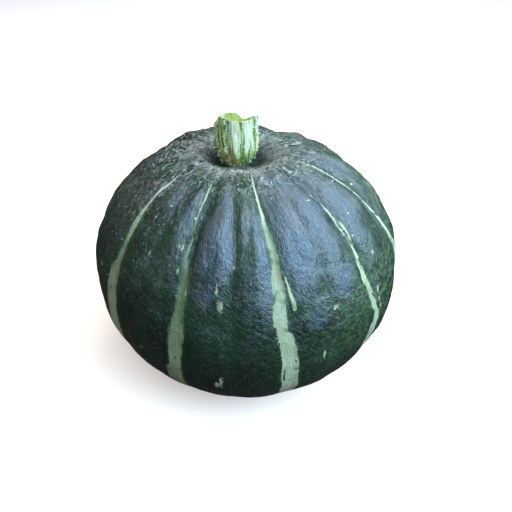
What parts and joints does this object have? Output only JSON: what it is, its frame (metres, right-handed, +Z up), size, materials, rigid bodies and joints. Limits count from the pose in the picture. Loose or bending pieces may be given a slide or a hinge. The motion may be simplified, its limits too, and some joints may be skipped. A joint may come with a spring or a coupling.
{
  "type": "kabocha squash",
  "caption": "Squat round winter squash with shallow furrows between its lobes, a hollow round the cut stem and a flat blossom end to rest on.",
  "frame": {"origin": "on the ground under the middle of the fruit's outline, at the level of the flat ring it rests on", "axes": "+Z up out of the stem end, -Y towards the side that carries the two widest stripes, +X to that side's right"},
  "size_m": [0.1792, 0.1814, 0.1597],
  "materials": {
    "rind": "tough waxy dark green skin, finely wrinkled, half gloss, with pale green stripes in the scene",
    "stem": "ribbed corky green stalk with pale bands, half matt"
  },
  "bodies": {
    "root": {"fruit": "rind", "stem": "stem"}
  },
  "joints": []
}
